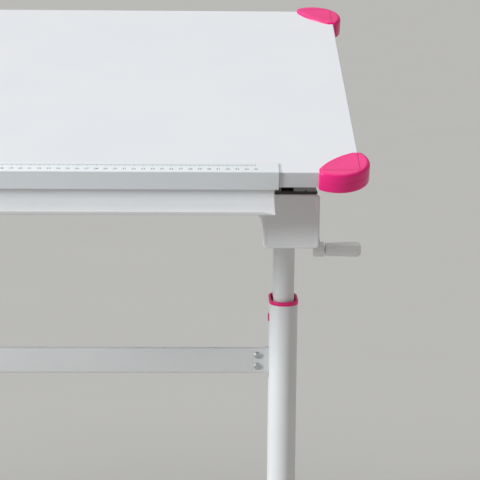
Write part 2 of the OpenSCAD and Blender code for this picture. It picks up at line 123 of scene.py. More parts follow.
# %% Outlines
def outline(*corners):
    """Closed polygon with rounded corners, each corner given as (x, y, radius).
    At a corner that turns by phi, the arc starts radius * tan(|phi| / 2) before it. A point
    is the arc's centre plus or minus the radius times the normal, and the normal turns
    evenly from the first side's to the second side's."""
    rows = []
    for i, (x, y, radius) in enumerate(corners):
        here = np.array([x, y], float)
        before = here - np.array(corners[i - 1][:2], float)
        after = np.array(corners[(i + 1) % len(corners)][:2], float) - here
        start = math.atan2(before[1], before[0])
        turn = (math.atan2(after[1], after[0]) - start + math.pi) % (2 * math.pi) - math.pi
        ahead = np.array([math.cos(start), math.sin(start)])
        right = np.array([ahead[1], -ahead[0]])
        centre = here - ahead * radius * math.tan(abs(turn) / 2) - np.sign(turn) * radius * right
        steps = 2 + int(abs(turn) * (3 + 900 * radius))
        angle = start - math.pi / 2 + np.linspace(0, turn, steps)
        normal = np.stack([np.cos(angle), np.sin(angle)], 1)
        rows.append(np.hstack([centre + np.sign(turn) * radius * normal, normal]))
    return np.vstack(rows)


def arcs(*bends):
    """Closed outline of arcs joined by straight runs. A bend is (centre x, centre y, radius,
    first angle, last angle) in degrees, and a point is the centre plus radius * (cos, sin)."""
    rows = []
    for x, y, radius, first, last in bends:
        angle = np.radians(np.linspace(first, last, 2 + int(abs(last - first) / 4)))
        normal = np.stack([np.cos(angle), np.sin(angle)], 1)
        rows.append(np.hstack([np.array([x, y]) + radius * normal, normal]))
    return np.vstack(rows)


def oval(width, depth):
    """Two half circles of the width's radius, joined by straight sides, long in y."""
    lift = (depth - width) / 2
    return arcs((0, lift, width / 2, 0, 180), (0, -lift, width / 2, 180, 360))


def disc(radius, x=0, steps=48):
    """A circle about (x, 0): radius * (cos, sin), without a doubled last point."""
    angle = np.arange(steps) * 2 * math.pi / steps
    normal = np.stack([np.cos(angle), np.sin(angle)], 1)
    return np.hstack([np.array([x, 0]) + radius * normal, normal])


def panel(low, high, radius):
    """A rectangle from one corner to the opposite one, with rounded corners."""
    (x0, y0), (x1, y1) = low[:2], high[:2]
    return outline((x1, y1, radius), (x0, y1, radius), (x0, y0, radius), (x1, y0, radius))


print("an outline's row is x, y and its normal:", np.round(disc(1, steps=4)[1], 3))

# %% [markdown]
# ## From outlines to solids
# A solid is a stack of rings with faces between them. A slab repeats its outline at several
# heights and draws it in near both ends, so its edges come out round. One more ring just
# inside each flat end keeps the flat face's shading clean. A wrap carries a closed section
# round an outline instead, which makes tubes, collars and edge strips.


# %% Solids
class Shape:
    """Points and the faces between them, before they become a mesh."""

    def __init__(self, points, faces):
        self.points = np.asarray(points, float).reshape(-1, 3)
        self.faces = faces

    def __add__(self, other):
        """Both shapes as one: the second one's face numbers go up by the first one's count."""
        shift = len(self.points)
        moved = [[i + shift for i in face] for face in other.faces]
        return Shape(np.vstack([self.points, other.points]), self.faces + moved)

    def at(self, x=0, y=0, z=0):
        """The shape moved by x, y, z."""
        return Shape(self.points + np.array([x, y, z]), self.faces)

    def turned(self, axes):
        """Every point times three axes, so local x runs along the first one, and so on."""
        return Shape(self.points @ np.array(axes, float), self.faces)

    def mirrored(self):
        """The shape with x reversed. Faces are listed backwards so that they still face out."""
        return Shape(self.points * np.array([-1, 1, 1]), [face[::-1] for face in self.faces])


ALONG_X = ((0, 1, 0), (0, 0, 1), (1, 0, 0))
ALONG_Y = ((1, 0, 0), (0, 0, 1), (0, -1, 0))
UPSIDE_DOWN = ((1, 0, 0), (0, -1, 0), (0, 0, -1))


def skin(rings, closed=False):
    """Four-sided faces between each ring and the next. If closed, the last ring joins the
    first; if not, the first and last rings are filled."""
    count, around = rings.shape[:2]
    ring = np.arange(count if closed else count - 1)[:, None]
    step = np.arange(around)[None, :]
    after, above = (step + 1) % around, (ring + 1) % count
    corners = [ring * around + step, ring * around + after, above * around + after,
               above * around + step]
    faces = np.stack(corners, -1).reshape(-1, 4).tolist()
    if not closed:
        faces.append(list(range(around))[::-1])
        faces.append(list(range((count - 1) * around, count * around)))
    return Shape(rings, faces)


def raised(line, profile):
    """Rings of an outline: for each (out, height) row, points plus out times their normals."""
    out, height = np.asarray(profile, float).T[:2]
    flat = line[None, :, :2] + out[:, None, None] * line[None, :, 2:]
    level = np.broadcast_to(height[:, None, None], flat.shape[:2] + (1,))
    return np.concatenate([flat, level], 2)


def round_over(radius, steps=5):
    """A quarter circle as (out, down) rows: out = radius * (cos a - 1), down = radius *
    (1 - sin a), for a from 0 to a right angle."""
    a = np.linspace(0, math.pi / 2, steps)
    return np.stack([radius * (np.cos(a) - 1), radius * (1 - np.sin(a))], 1)


def slab(line, low, high, edge, low_edge=None, middle=()):
    """A solid between two heights with round edges. Its profile is a quarter circle, the
    wall with any middle rows, and another quarter circle, each ended by a holding ring."""
    low_edge = edge if low_edge is None else low_edge
    bottom = round_over(low_edge)[::-1] + [0, low]
    top = round_over(edge) * [1, -1] + [0, high]
    hold = 0.25 * MM
    rows = [(-low_edge - hold, low), *bottom, *middle, *top, (-edge - hold, high)]
    return skin(raised(line, rows))


def wrap(line, section):
    """A closed section of (out, height) rows carried round an outline."""
    return skin(raised(line, section), closed=True)


def turned_rings(radii, levels):
    """Rings about the z axis: radius * (cos a, sin a) at each ring's level. The radii are a
    table of one row for each ring, and a goes once round in each row."""
    angle = np.arange(radii.shape[1]) * 2 * math.pi / radii.shape[1]
    level = np.broadcast_to(np.array(levels)[:, None], radii.shape)
    return np.stack([radii * np.cos(angle), radii * np.sin(angle), level], 2)


def spun(profile):
    """A turned solid: a circle of no size drawn out by the (radius, height) rows."""
    return skin(raised(disc(0), profile))


def tube(line, wall, low, high, edge):
    """A wrap whose section is a tall rectangle, with its four corners rounded."""
    section = outline((0, low, edge), (0, high, edge), (-wall, high, edge), (-wall, low, edge))
    return wrap(line, section)


def joined(shapes):
    """Several shapes as one."""
    return sum(shapes[1:], shapes[0])


def both_legs(shape):
    """The shape at the right leg, and its mirror image at the left one."""
    right = shape.at(LEG_X)
    return right + right.mirrored()


block = slab(panel((0, 0), (0.1, 0.1), 0.01), 0, 0.02, 0.002)
print("a test block has", len(block.points), "points and", len(block.faces), "faces")

# %% [markdown]
# ## Shader sums in plain Python
# A finish is a small sum of patterns. Each plus or times sign is a node of its own, so one
# class wraps a socket and gives it Python's own signs. Anything else comes from one method
# that adds a node, applies its settings, and then fills its sockets with values or links.
# Colours are mixed by Mix nodes, which keep them coloured.


# %% Shader sums
class Field:
    """A number or colour that varies over a surface, as the output socket of a node."""

    def __init__(self, finish, socket):
        self.finish = finish
        self.socket = socket

    def sum_of(self, operation, first, second):
        """A Math node with the given operation on two values."""
        return self.finish.node("Math", {"operation": operation}, {0: first, 1: second})

    def __add__(self, other):
        return self.sum_of("ADD", self, other)

    def __radd__(self, other):
        return self.sum_of("ADD", other, self)

    def __sub__(self, other):
        return self.sum_of("SUBTRACT", self, other)

    def __rsub__(self, other):
        return self.sum_of("SUBTRACT", other, self)

    def __mul__(self, other):
        return self.sum_of("MULTIPLY", self, other)

    def __rmul__(self, other):
        return self.sum_of("MULTIPLY", other, self)

    def between(self, low, high):
        """0 below low and 1 above high, with a soft step in between."""
        return self.finish.node("MapRange", {"interpolation_type": "SMOOTHSTEP"},
                                {"Value": self, "From Min": low, "From Max": high})


finishes = {}


class Finish:
    """One material, made when its name is first used and kept in the list of finishes.
    Values that are the same all over are set on the shader's own sockets."""

    def __init__(self, name, **constants):
        if name not in finishes:
            finishes[name] = bpy.data.materials.new(name)
            finishes[name].use_nodes = True
        self.tree = finishes[name].node_tree
        self.shader = self.tree.nodes["Principled BSDF"]
        for key, value in constants.items():
            self.shader.inputs[key.replace("_", " ")].default_value = value
        self.place = self.node("TexCoord", out=3)

    def node(self, kind, settings=None, inputs=None, out=0):
        """Adds a node, applies its settings, then fills its sockets with values or links."""
        made = self.tree.nodes.new("ShaderNode" + kind)
        for key, value in (settings or {}).items():
            setattr(made, key, value)
        for key, value in (inputs or {}).items():
            if isinstance(value, Field):
                self.tree.links.new(value.socket, made.inputs[key])
            else:
                made.inputs[key].default_value = value
        return Field(self, made.outputs[out])

    def grain(self, size, detail, stretch=(1, 1, 1), turn=(0, 0, 0)):
        """Smooth noise whose lumps are about size metres across, drawn out by stretch."""
        scale = tuple(1 / (size * s) for s in stretch)
        spot = self.node("Mapping", inputs={"Vector": self.place, "Rotation": turn,
                                            "Scale": scale})
        return self.node("TexNoise", inputs={"Vector": spot, "Scale": 1.0, "Detail": detail})

    def mix(self, amount, first, second):
        """First colour where the amount is 0, second colour where it is 1."""
        return self.node("Mix", {"data_type": "RGBA"}, {0: amount, 6: first, 7: second}, out=2)

    def parts(self, vector):
        """The x, y and z of a vector, as three fields."""
        split = self.node("SeparateXYZ", inputs={"Vector": vector}).socket.node
        return [Field(self, split.outputs[i]) for i in range(3)]

    def source_of(self, socket, inner=None):
        """What already feeds a socket of the shader, or a socket of the node that does."""
        source = self.shader.inputs[socket].links[0].from_socket
        if inner:
            source = source.node.inputs[inner].links[0].from_socket
        return Field(self, source)

    def feed(self, socket, field):
        """Links a field to one of the shader's sockets."""
        self.tree.links.new(field.socket, self.shader.inputs[socket])

    def relief(self, height, depth):
        """Bumps as deep as depth metres wherever the height field goes from 0 to 1."""
        self.feed("Normal", self.node("Bump", inputs={"Distance": depth, "Height": height}))


def rgb(red, green, blue):
    """A colour with full opacity."""
    return (red, green, blue, 1.0)


print("shader signs ready:", [m for m in dir(Field) if m.startswith("__r")][:3])

# %% [markdown]
# ## Laminate
# The top is particle board faced with white melamine. The press plate leaves a fine pearl
# texture that breaks up reflections, and hands leave faint smoother patches. Fine noise
# gives the relief, and wide slow noise shifts the roughness and tints the white by one or
# two parts in a hundred.


# %% Laminate
def laminate(name, light, dark):
    """White faced board: pearl grain of 0.8 mm, hand-worn patches of about 90 mm."""
    finish = Finish(name, IOR=1.48)
    pearl = finish.grain(0.8 * MM, detail=3.0)
    patches = finish.grain(90 * MM, detail=4.0)
    tint = patches.between(0.35, 0.7) * 0.75 + pearl * 0.25
    finish.feed("Base Color", finish.mix(tint, light, dark))
    finish.feed("Roughness", 0.40 + 0.12 * patches + 0.06 * pearl)
    finish.relief(pearl, 0.025 * MM)


laminate("laminate", rgb(0.75, 0.755, 0.775), rgb(0.73, 0.735, 0.76))
# The edging is the same white laminate made darker: painted shade for the board's edges.
laminate("edging", rgb(0.63, 0.63, 0.65), rgb(0.605, 0.605, 0.63))
print("laminate and edging made")

# %% [markdown]
# ## Powder-coated steel
# Tubes, feet and leg heads are steel with white powder baked on. The powder sets with a
# faint orange peel, a few millimetres from crest to crest, and fine specks of it stay dull.
# Two sizes of noise make that relief.


# %% Powder coat
def powder_coat(name, light, dark, gloss=0.30):
    """Baked powder: orange peel of 2.2 mm, fine specks of 0.35 mm, and slow shade changes."""
    finish = Finish(name, IOR=1.5)
    peel = finish.grain(2.2 * MM, detail=1.0)
    speck = finish.grain(0.35 * MM, detail=2.0)
    film = finish.grain(60 * MM, detail=3.0)
    finish.feed("Base Color", finish.mix(film.between(0.3, 0.7) * 0.7 + speck * 0.3,
                                         light, dark))
    finish.feed("Roughness", gloss + 0.10 * speck + 0.08 * film)
    finish.relief(peel * 0.7 + speck * 0.3, 0.05 * MM)


powder_coat("white_steel", rgb(0.80, 0.80, 0.80), rgb(0.77, 0.772, 0.78))
print("powder coat made")

# %% [markdown]
# ## Moulded plastic
# Pads, collars and caps come out of a mould with etched walls, which give a very fine spark
# texture. Colour is mixed into the melt and drifts a little along the flow. Handling leaves
# a few hairline scuffs.


# %% Moulded plastic
def moulded(name, light, dark, gloss, scuff):
    """Etched plastic: spark texture of 0.3 mm, flow marks of 25 mm, and hairline scuffs that
    are thin because their noise is drawn out forty times in one direction."""
    finish = Finish(name, IOR=1.5)
    spark = finish.grain(0.3 * MM, detail=2.0)
    flow = finish.grain(25 * MM, detail=3.0, stretch=(2.5, 1, 1))
    hair = finish.grain(0.5 * MM, detail=1.0, stretch=(40, 6, 1), turn=(0.3, 0.2, 0.7))
    scuffs = hair.between(0.74, 0.80) * flow.between(0.45, 0.6)
    body = finish.mix(flow.between(0.3, 0.7), light, dark)
    finish.feed("Base Color", finish.mix(scuffs * 0.5, body, scuff))
    finish.feed("Roughness", gloss + 0.10 * spark + 0.10 * flow + 0.12 * scuffs)
    finish.relief(spark * 0.8 - scuffs * 0.2, 0.02 * MM)


PINK = rgb(0.90, 0.012, 0.225)
DEEP_PINK = rgb(0.82, 0.008, 0.185)
PINK_SCUFF = rgb(0.95, 0.20, 0.40)
moulded("pink_plastic", PINK, DEEP_PINK, 0.24, PINK_SCUFF)
moulded("white_plastic", rgb(0.80, 0.80, 0.795), rgb(0.775, 0.775, 0.775), 0.22,
        rgb(0.66, 0.66, 0.65))
moulded("black_plastic", rgb(0.018, 0.018, 0.020), rgb(0.030, 0.030, 0.032), 0.38,
        rgb(0.09, 0.09, 0.09))
moulded("rubber", rgb(0.028, 0.028, 0.030), rgb(0.045, 0.044, 0.043), 0.62,
        rgb(0.11, 0.11, 0.10))
print("plastics made:", sorted(finishes))

# %% [markdown]
# ## Metals and ink
# The ruler is an aluminium extrusion under a thin white coat, and the die's long faint
# lines show through. Bolts, pins and the shaft are zinc plated: bright, slightly blue, and
# mottled. The printed ink wears away first on the high spots of the coat.


# %% Metals and ink
def extrusion(name, light, dark):
    """Coated extrusion: die lines of 0.4 mm drawn out two hundred times along x."""
    finish = Finish(name, IOR=1.5)
    lines = finish.grain(0.4 * MM, detail=2.0, stretch=(200, 1, 1))
    film = finish.grain(40 * MM, detail=3.0)
    finish.feed("Base Color", finish.mix(lines * 0.5 + film * 0.5, light, dark))
    finish.feed("Roughness", 0.28 + 0.14 * lines + 0.06 * film)
    finish.relief(lines, 0.02 * MM)


def zinc_plate(name, light, dark):
    """Plated steel: mottling of 3 mm in two tints, fine turning marks of 0.15 mm."""
    finish = Finish(name, Metallic=1.0)
    mottle = finish.grain(3 * MM, detail=4.0)
    marks = finish.grain(0.15 * MM, detail=2.0, stretch=(1, 8, 8))
    finish.feed("Base Color", finish.mix(mottle.between(0.35, 0.65), light, dark))
    finish.feed("Roughness", 0.22 + 0.16 * mottle + 0.12 * marks)
    finish.relief(marks, 0.01 * MM)


def printed_ink(name, full, thin):
    """Ink that thins to a lighter grey in spots of 0.5 mm."""
    finish = Finish(name, IOR=1.45)
    wear = finish.grain(0.5 * MM, detail=3.0)
    finish.feed("Base Color", finish.mix(wear.between(0.5, 0.75), full, thin))
    finish.feed("Roughness", 0.45 + 0.2 * wear)


extrusion("ruler_white", rgb(0.80, 0.825, 0.84), rgb(0.765, 0.795, 0.815))
powder_coat("black_steel", rgb(0.030, 0.025, 0.021), rgb(0.040, 0.034, 0.028), 0.08)
zinc_plate("zinc", rgb(0.66, 0.68, 0.71), rgb(0.55, 0.56, 0.57))
printed_ink("ink", rgb(0.045, 0.048, 0.055), rgb(0.16, 0.165, 0.17))
print("finishes:", sorted(finishes))

# %% [markdown]
# ## Finishes for the mechanical parts
# Parts whose shape is already right, such as pins, bushes and rails, stay as they are and
# only take a finish. The record names each one's material slot, so one loop serves them
# all, and the same slots name the finishes of the new pieces.

# %% Finish every mechanical part
for row in frame["record"]["subparts"]:
    mesh = frame["nodes"][row["node"]].data
    mesh.materials.clear()
    mesh.materials.append(finishes[row["material_slot"]])


# %% Functions that make pieces
CREASE = math.radians(34)


def add(name, data):
    """A new object at the origin that holds a mesh, a lamp or a camera."""
    made = bpy.data.objects.new(name, data)
    bpy.context.scene.collection.objects.link(made)
    return made


def piece(name, shape, body, slot, stands_for=None, seat=ROOM, finish=None):
    """Turns a shape into an object at the origin, with its place in its mesh. Edges that
    turn by more than the crease angle stay sharp in the shading."""
    mesh = bpy.data.meshes.new(name)
    mesh.from_pydata(seat.out(shape.points).tolist(), [], shape.faces)
    mesh.validate()
    mesh.shade_smooth()
    mesh.set_sharp_from_angle(angle=CREASE)
    mesh.materials.append(finishes[finish or slot])
    made = add(name, mesh)
    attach(made, body)
    if stands_for:
        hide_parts(stands_for)
    print(f"{name}: {len(mesh.polygons)} faces, rides on {body}")


def pair(name, shape, body, slot, node, x=LEG_X):
    """Two pieces: the shape moved by x on the right side, and its mirror image on the left."""
    for side, sign in SIDES.items():
        placed = shape.at(x)
        piece(f"{name}_{side}", placed if sign > 0 else placed.mirrored(), body, slot,
              f"{node}_{side}")


print(f"edges that turn by more than {math.degrees(CREASE):.0f} degrees stay sharp")

# %% [markdown]
# ## The board
# The board is a flat panel with round corners. Its cut edges are covered by a strip of
# plastic edging, one millimetre thick, whose outer corners are milled round and whose joint
# with the laminate shows as a hairline. So the panel is one slab, and the edging is a
# section carried round it. The edging's finish is the same white laminate made darker,
# which is painted shade on the board's edges.

# %% Board and edging
board_low, board_high = TOP.extent("board")
BOARD_CORNER = 14 * MM
EDGING = 1.0 * MM
around_board = panel(board_low, board_high, BOARD_CORNER)
panel_line = around_board.copy()
panel_line[:, :2] -= EDGING * panel_line[:, 2:]
board_panel = slab(panel_line, board_low[2], board_high[2], 0.12 * MM)
piece("board_panel", board_panel, "top", "laminate", "board", TOP)

strip_section = outline(
    (0, board_low[2], 0.9 * MM), (0, board_high[2], 0.9 * MM),
    (-EDGING, board_high[2], 0.1 * MM), (-EDGING, board_low[2], 0.1 * MM))
# Its finish is the darker laminate, which is painted shade on the edges.
piece("board_edging", wrap(around_board, strip_section), "top", "laminate", seat=TOP,
      finish="edging")

# %% [markdown]
# ## Corner pads
# Each corner wears a pink pad, moulded in two shells that meet at half height. From above
# it is a leaf: the part of a round disc that also lies in a wider one, cut blunt, with a
# well rounded rim. On top a fine groove runs just inside the board's two edges, where the
# thin skin over the board meets the thick corner. The groove is finer than the pad's rings,
# so the finish draws it: it turns each point back into the top's own axes and asks how far
# it lies from a rounded rectangle. There it bumps the surface, and it darkens the pink,
# which is painted shade in the groove.


# %% Grooved plastic
MIDDLE = (TOP.extent("board")[0] + TOP.extent("board")[1]) / 2


def grooved(name, light, dark, gloss, scuff, half_x, half_y, low_z):
    """Moulded plastic with a groove 0.9 mm wide. Its depth is 1 where the soft maximum of
    |x| - half_x and |y| - half_y is 0, and it fades to 0 over 0.45 mm and below low_z. The
    depth bumps the surface and darkens the pink towards a deep red, painted shade in the groove."""
    moulded(name, light, dark, gloss, scuff)
    finish = Finish(name)
    centre = TOP.out(MIDDLE)
    turned = finish.node("Mapping", {"vector_type": "TEXTURE"},
                         {"Vector": finish.place, "Location": tuple(centre),
                          "Rotation": (slope, 0, 0)})
    x, y, z = finish.parts(turned)
    off_x = x.sum_of("ABSOLUTE", x, 0.0) - half_x
    off_y = y.sum_of("ABSOLUTE", y, 0.0) - half_y
    edge = finish.node("Math", {"operation": "SMOOTH_MAX"}, {0: off_x, 1: off_y, 2: 4 * MM})
    near = edge.sum_of("ABSOLUTE", edge, 0.0)
    depth = (1 - near.between(0.15 * MM, 0.55 * MM)) * z.between(low_z, low_z + 0.2 * MM)
    body = finish.source_of("Base Color")
    # Painted shade: inside the groove the pink turns up to 0.6 of the way to a deep red.
    finish.feed("Base Color", finish.mix(depth * 0.6, body, rgb(0.42, 0.010, 0.09)))
    height = finish.source_of("Normal", "Height")
    finish.relief(height * 0.05 - depth, 0.4 * MM)


def leaf(outer, inner, apart, end, tip):
    """Outline common to two discs, cut square at both tips. The outer disc's centre is the
    origin, the inner disc's lies apart along the diagonal, and the cuts are x = -end and
    y = -end. Each corner is an arc of radius tip whose centre lies tip inside both lines
    that meet there, and the outline is its own mirror image across the diagonal."""
    side = apart / math.sqrt(2)
    x = tip - end
    upper = math.sqrt((outer - tip) ** 2 - x ** 2)
    lower = side - math.sqrt((inner - tip) ** 2 - (x - side) ** 2)
    far = math.degrees(math.atan2(upper, x))
    near = math.degrees(math.atan2(lower - side, x - side)) % 360
    return arcs(
        (0, 0, outer, 90 - far, far), (x, upper, tip, far, 180), (x, lower, tip, 180, near),
        (side, side, inner, near, 450 - near), (lower, x, tip, 450 - near, 270),
        (upper, x, tip, 270, 450 - far))


print("middle of the board, in the top's axes:", np.round(MIDDLE, 4))

# %% Corner pads
PAD_ROUND = 35 * MM
PAD_ACROSS = 86 * MM
PAD_REACH = 41.5 * MM
PAD_END = 45.4 * MM
PAD_TIP = 4.3 * MM
PAD_RIM = 4 * MM
SEAM = 0.3 * MM
pad_low, pad_high = TOP.extent("corner_pad_front_right")
pad_inset = PAD_ROUND - (pad_high[0] - board_high[0])
pad_line = leaf(PAD_ROUND, PAD_ACROSS, PAD_ACROSS - PAD_REACH + pad_inset * math.sqrt(2),
                PAD_END - pad_inset, PAD_TIP)
half = (pad_low[2] + pad_high[2]) / 2
seam = [(0, half - SEAM), (-SEAM, half), (0, half + SEAM)]
pad = slab(pad_line, pad_low[2], pad_high[2], PAD_RIM, low_edge=1.2 * MM, middle=seam)
HALF_BOARD = (board_high - board_low) / 2
LINE_INSET = 1.4 * MM
grooved("pad_plastic", PINK, DEEP_PINK, 0.20, PINK_SCUFF, HALF_BOARD[0] - LINE_INSET,
        HALF_BOARD[1] - LINE_INSET, pad_high[2] - MIDDLE[2] - 0.6 * MM)
for end, y_sign in (("front", -1), ("back", 1)):
    for side, x_sign in SIDES.items():
        angle = math.atan2(y_sign, x_sign) - math.pi / 4
        cosine, sine = math.cos(angle), math.sin(angle)
        corner = np.where([x_sign > 0, y_sign > 0], board_high[:2], board_low[:2])
        centre = corner - pad_inset * np.array([x_sign, y_sign])
        shape = pad.turned(((cosine, sine, 0), (-sine, cosine, 0), (0, 0, 1)))
        piece(f"pad_{end}_{side}", shape.at(*centre), "top", "pink_plastic",
              f"corner_pad_{end}_{side}", TOP, finish="pad_plastic")

# %% [markdown]
# ## The ruler
# The ruler is an L of aluminium: its ledge lies on the board's front edge and its face
# covers the edging. It also stops pencils from rolling off. The L is one outline carried
# along x. The marks are hundreds of thin blocks, and the numbers are text turned into
# meshes, all a few hundredths of a millimetre thick.

# %% Ruler
ruler_low, ruler_high = TOP.extent("ruler")
LEDGE = 1.5 * MM
FACE = 2.0 * MM
r = 0.5 * MM
(front, foot), (back, flat_z) = ruler_low[1:], ruler_high[1:]
ruler_line = outline(
    (back, flat_z, r), (front, flat_z, 0.7 * MM), (front, foot, r), (front + FACE, foot, r),
    (front + FACE, flat_z - LEDGE, r), (back, flat_z - LEDGE, r))
ruler_rail = slab(ruler_line, ruler_low[0], ruler_high[0], 0.25 * MM).turned(ALONG_X)
piece("ruler_rail", ruler_rail, "top", "ruler_white", "ruler", TOP)

# %% [markdown]
# A mark's place is a whole number of millimetres from the zero mark, and its length depends
# only on that number: long at whole centimetres, middling at halves, short elsewhere. So
# all marks are worked out together as arrays.


# %% Marks on the ruler
def blocks(low, high):
    """Boxes from arrays of low and high corners. The eight corners of each one pick low or
    high in x, y and z, as the three binary digits of the corner's number."""
    pick = (np.arange(8)[:, None] >> np.arange(3)) & 1
    points = np.where(pick[None] == 1, high[:, None], low[:, None])
    sides = np.array([[0, 4, 6, 2], [1, 3, 7, 5], [0, 1, 5, 4], [2, 6, 7, 3], [0, 2, 3, 1],
                      [4, 5, 7, 6]])
    faces = sides[None] + 8 * np.arange(len(low))[:, None, None]
    return Shape(points, faces.reshape(-1, 4).tolist())


SCALE_CM = 45
SCALE_END = 24.5 * MM
MARK_THICK = 0.03 * MM
scale_start = ruler_high[0] - SCALE_END - SCALE_CM * 10 * MM
mark = np.arange(10 * SCALE_CM + 1)
mark_x = scale_start + mark * MM
mark_long = np.where(mark % 10 == 0, 4.2, np.where(mark % 5 == 0, 3.3, 2.4)) * MM
mark_wide = np.where(mark % 10 == 0, 0.34, 0.26) * MM
back_line = back - 4.8 * MM
mark_low = np.stack([mark_x - mark_wide / 2, back_line - mark_long,
                     np.full(len(mark), flat_z - MARK_THICK)], 1)
mark_high = np.stack([mark_x + mark_wide / 2, np.full(len(mark), back_line),
                      np.full(len(mark), flat_z + MARK_THICK)], 1)
piece("ruler_marks", blocks(mark_low, mark_high), "top", None, seat=TOP, finish="ink")


# %% Numbers on the ruler
def lettered(text, height, thick):
    """Text as a shape: a filled curve with thickness, turned into a mesh, its middle at the
    origin. The curve's size is 1.4 times the height of its digits."""
    curve = bpy.data.curves.new("digits", "FONT")
    curve.body = text
    curve.size = height * 1.4
    curve.align_x = "CENTER"
    curve.align_y = "CENTER"
    curve.extrude = thick
    curve.resolution_u = 3
    holder = bpy.data.objects.new("digits", curve)
    mesh = bpy.data.meshes.new_from_object(holder)
    letters = Shape(read(mesh.vertices, "co"), [list(face.vertices) for face in mesh.polygons])
    bpy.data.objects.remove(holder)
    bpy.data.curves.remove(curve)
    bpy.data.meshes.remove(mesh)
    return letters


DIGIT = 3.4 * MM
number_y = front + 2 * DIGIT
numbers = [lettered(str(cm), DIGIT, MARK_THICK).at(scale_start + 10 * cm * MM, number_y, flat_z)
           for cm in range(SCALE_CM + 1)]
piece("ruler_numbers", joined(numbers), "top", None, seat=TOP, finish="ink")

# %% [markdown]
# ## The pen tray
# The tray hangs under the board's front edge. Seen from its end it is a thin strip: a
# flange screwed under the board, a quarter round, a flat floor and a low lip, which slopes
# down to the floor at both ends. A slab would keep one outline all along, so here the rings
# are worked out first, and the lip's points are lowered near the ends.

# %% Pen tray
tray_low, tray_high = TOP.extent("pen_tray")
TRAY_WALL = 1.5 * MM
TROUGH = 16 * MM
LIP = 3.2 * MM
LIP_SLOPE = 16 * MM
TRAY_SET_BACK = 5 * MM
(front, foot), (back, top) = tray_low[1:], tray_high[1:]
floor_top = foot + TRAY_WALL
lip_in = front + TRAY_WALL
wall_in = board_low[1] + TRAY_SET_BACK
wall_out = wall_in + TRAY_WALL
r = 0.6 * MM
tray_line = outline(
    (back, top, r), (wall_in, top, r), (wall_in, floor_top, TROUGH), (lip_in, floor_top, 1 * MM),
    (lip_in, floor_top + LIP, r), (front, floor_top + LIP, r), (front, foot, 1.6 * MM),
    (wall_out, foot, TROUGH + 0.4 * MM), (wall_out, top - TRAY_WALL, 1 * MM),
    (back, top - TRAY_WALL, r))


def tray_rings(line, low, high):
    """The tray's section at many stations along x. Near an end, at a distance t of the
    slope's length, a lip point sinks by its height over the floor times 1 - smooth(t), where
    smooth(t) = 3 t t - 2 t t t."""
    edge = round_over(0.4 * MM)
    ends = np.concatenate([[[-0.55 * MM, 0]], edge[::-1]])
    slope_stations = np.linspace(0.4 * MM, LIP_SLOPE, 14)[1:]
    near = np.concatenate([ends, np.stack([0 * slope_stations, slope_stations], 1)])
    profile = np.concatenate([near + [0, low], near[::-1] * [1, -1] + [0, high]])
    rings = raised(line, profile)
    t = np.clip(np.minimum(rings[:, :, 2] - low, high - rings[:, :, 2]) / LIP_SLOPE, 0, 1)
    smooth = 3 * t ** 2 - 2 * t ** 3
    in_lip = rings[:, :, 0] < lip_in + 1.2 * MM
    over = np.clip(rings[:, :, 1] - floor_top, 0, None) * in_lip
    rings[:, :, 1] -= over * (1 - smooth)
    return rings


tray_shape = skin(tray_rings(tray_line, tray_low[0], tray_high[0])).turned(ALONG_X)
piece("pen_trough", tray_shape, "top", "white_steel", "pen_tray", TOP)

# %% [markdown]
# ## Legs
# Each leg is two flat oval steel tubes, one sliding in the other. A pink collar caps the
# outer tube: its rim stands proud, its sleeve guides the inner tube, and a snap tab shows
# through a window on the inner side. A tube is a rectangle of wall carried round an oval,
# and the collar is the same with a richer section.

# %% Leg tubes
outer_w, outer_d = (leg_high - leg_low)[:2]
inner_low, inner_high = ROOM.extent("inner_tube_right")
inner_w, inner_d = (inner_high - inner_low)[:2]
WALL = 1.5 * MM
outer = tube(oval(outer_w, outer_d), WALL, leg_low[2], leg_high[2], 0.4 * MM)
inner = tube(oval(inner_w, inner_d), WALL, inner_low[2], inner_high[2], 0.4 * MM)
pair("outer_leg", outer, "base", "white_steel", "leg_tube")
pair("inner_leg", inner, "upper_frame", "white_steel", "inner_tube")

# %% Collars
collar_low, collar_high = ROOM.extent("leg_collar_right")
rim_w, rim_d = 2 * (collar_high - [LEG_X, 0, 0])[:2]
rim_foot = leg_high[2]
sleeve_out = -(rim_w - outer_w) / 2 - WALL - 0.1 * MM
rim_in = -2.9 * MM
guide_in = -(rim_w - inner_w) / 2 + 0.3 * MM
guide_top = collar_low[2] + 6 * MM
collar_section = outline(
    (0, rim_foot, 0.6 * MM), (0, collar_high[2], 1.3 * MM), (rim_in, collar_high[2], 1.2 * MM),
    (rim_in, guide_top + 4 * MM, 0.5 * MM), (guide_in, guide_top, 0.5 * MM),
    (guide_in, collar_low[2], 0.5 * MM), (sleeve_out, collar_low[2], 0.2 * MM),
    (sleeve_out, rim_foot, 0.2 * MM))
TAB = 9.2 * MM
TAB_PROUD = 1.6 * MM
tab_top = leg_high[2] - 15.8 * MM
tab_line = panel((-TAB / 2, tab_top - TAB), (TAB / 2, tab_top), 1.8 * MM)
tab = slab(tab_line, -outer_w / 2 - TAB_PROUD, 2 * MM - outer_w / 2, 0.2 * MM,
           low_edge=1.2 * MM).turned(ALONG_X)
collar = wrap(oval(rim_w, rim_d), collar_section) + tab
pair("collar", collar, "base", "pink_plastic", "leg_collar")

# %% [markdown]
# ## Leg heads
# On each leg sits a channel folded from sheet steel. A thick cover closes its front. The
# cover is wider than the channel and has round lower corners and a round edge, so from the
# front a bright rim runs round a face in shade. A black coated plate on top carries the
# hinge. The channel's outline is carried along y, and the cover and the plate are slabs.

